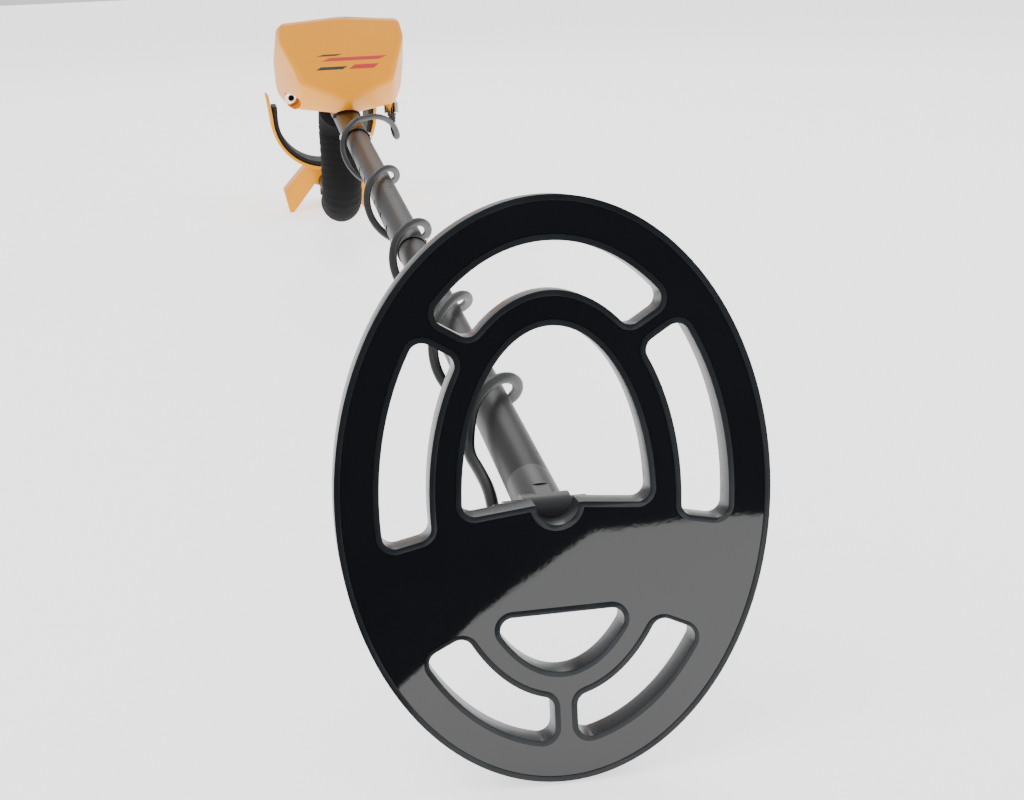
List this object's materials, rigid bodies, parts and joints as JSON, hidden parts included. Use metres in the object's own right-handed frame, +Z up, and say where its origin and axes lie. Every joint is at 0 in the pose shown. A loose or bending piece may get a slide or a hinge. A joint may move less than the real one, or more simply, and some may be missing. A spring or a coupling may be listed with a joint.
{
  "type": "metal detector",
  "caption": "Hand-held metal detector with an open oval search coil on a telescoping stem, a control box, a foam grip and an arm cuff.",
  "frame": {"origin": "on the floor, under the middle of the detector's length, with the coil's heel and the cuff's two feet on the floor", "axes": "+Z up, +Y from the coil back to the arm cuff, +X to the side of the cable socket"},
  "size_m": [0.1672, 1.367, 0.2538],
  "materials": {
    "housing_yellow": "satin",
    "coil_black": "satin",
    "potting_black": "gloss",
    "copper_wire": "satin",
    "black_rubber": "matte",
    "black_plastic": "satin",
    "dark_tube": "satin",
    "foam_black": "matte",
    "pad_grey": "matte",
    "chrome": "polished",
    "steel": "brushed",
    "panel_print": "satin",
    "window": "gloss",
    "display_grey": "satin",
    "button_grey": "satin",
    "board_green": "satin",
    "cell_wrap": "gloss",
    "cable_grey": "matte"
  },
  "bodies": {
    "shaft": {"s_rod": "dark_tube", "grip_foam": "foam_black", "rod_end_plug": "black_plastic", "middle_stem": "dark_tube", "upper_snap_spring": "steel", "arm_cuff": "housing_yellow", "cuff_pad": "pad_grey", "cuff_bolt": "steel", "cuff_knob": "black_plastic", "front_shell": "housing_yellow", "rear_shell": "housing_yellow", "housing_screws": "steel", "mount_saddle": "black_rubber", "saddle_screws": "steel", "panel_overlay": "panel_print", "display_window": "window", "display_module": "display_grey", "circuit_board": "board_green", "speaker": "black_plastic", "battery_holder": "black_plastic", "battery_cells": "cell_wrap", "battery_contacts": "steel", "headphone_jack": "chrome", "cable_socket": "chrome", "cable_plug": "chrome", "strain_relief": "black_rubber", "box_lead": "cable_grey", "shaft_winding": "cable_grey"},
    "lower_stem": {"lower_stem": "dark_tube", "stem_tip": "black_plastic", "lower_snap_spring": "steel"},
    "coil": {"coil_shell": "coil_black", "coil_potting": "potting_black", "transmit_winding": "copper_wire", "receive_winding": "copper_wire", "pivot_washers": "black_rubber", "coil_bolt": "black_plastic", "coil_cable_gland": "black_rubber", "coil_lead": "cable_grey"},
    "wing_nut": {"wing_nut": "black_plastic"},
    "coupling_ring": {"coupling_ring": "chrome"},
    "battery_door": {"battery_door": "housing_yellow"},
    "power_button": {"power_button": "button_grey"},
    "mode_button": {"mode_button": "button_grey"},
    "minus_button": {"minus_button": "button_grey"},
    "plus_button": {"plus_button": "button_grey"},
    "lower_snap_button_left": {"lower_snap_button_left": "chrome"},
    "lower_snap_button_right": {"lower_snap_button_right": "chrome"},
    "upper_snap_button_left": {"upper_snap_button_left": "chrome"},
    "upper_snap_button_right": {"upper_snap_button_right": "chrome"}
  },
  "joints": [
    {"name": "coil_tilt", "type": "hinge", "parent": "lower_stem", "child": "coil", "pos_m": [0, -0.64797, 0.09857], "axis": [1, 0, 0], "range_deg": [-60, 85], "deforming": ["coil_lead"]},
    {"name": "stem_length", "type": "slide", "parent": "shaft", "child": "lower_stem", "axis": [0, 0.9978, 0.0663], "range_m": [0, 0.2286], "deforming": ["shaft_winding", "lower_snap_spring", "lower_snap_button_left", "lower_snap_button_right"]},
    {"name": "wing_nut_turn", "type": "hinge", "parent": "coil", "child": "wing_nut", "pos_m": [0.018, -0.64797, 0.09857], "axis": [1, 0, 0], "continuous": true},
    {"name": "coupling_ring_turn", "type": "hinge", "parent": "shaft", "child": "coupling_ring", "pos_m": [0.05, 0.26548, 0.16726], "axis": [0, -0.1771, -0.9842], "continuous": true},
    {"name": "battery_door_lift", "type": "slide", "parent": "shaft", "child": "battery_door", "axis": [0.08, 0.0925, 0.9925], "range_m": [0, 0.02]},
    {"name": "power_button_press", "type": "slide", "parent": "shaft", "child": "power_button", "axis": [0, -0.9342, -0.3566], "range_m": [0, 0.0012], "stiffness_N_per_m": 150},
    {"name": "mode_button_press", "type": "slide", "parent": "shaft", "child": "mode_button", "axis": [0, -0.9342, -0.3566], "range_m": [0, 0.0012], "stiffness_N_per_m": 150},
    {"name": "minus_button_press", "type": "slide", "parent": "shaft", "child": "minus_button", "axis": [0, -0.9342, -0.3566], "range_m": [0, 0.0012], "stiffness_N_per_m": 150},
    {"name": "plus_button_press", "type": "slide", "parent": "shaft", "child": "plus_button", "axis": [0, -0.9342, -0.3566], "range_m": [0, 0.0012], "stiffness_N_per_m": 150},
    {"name": "lower_snap_button_left_press", "type": "slide", "parent": "lower_stem", "child": "lower_snap_button_left", "axis": [1, 0, 0], "range_m": [0, 0.0034], "stiffness_N_per_m": 300},
    {"name": "lower_snap_button_right_press", "type": "slide", "parent": "lower_stem", "child": "lower_snap_button_right", "axis": [-1, 0, 0], "range_m": [0, 0.0034], "stiffness_N_per_m": 300},
    {"name": "upper_snap_button_left_press", "type": "slide", "parent": "shaft", "child": "upper_snap_button_left", "axis": [1, 0, 0], "range_m": [0, 0.0042], "stiffness_N_per_m": 300, "deforming": ["upper_snap_spring"]},
    {"name": "upper_snap_button_right_press", "type": "slide", "parent": "shaft", "child": "upper_snap_button_right", "axis": [-1, 0, 0], "range_m": [0, 0.0042], "stiffness_N_per_m": 300, "deforming": ["upper_snap_spring"]}
  ]
}
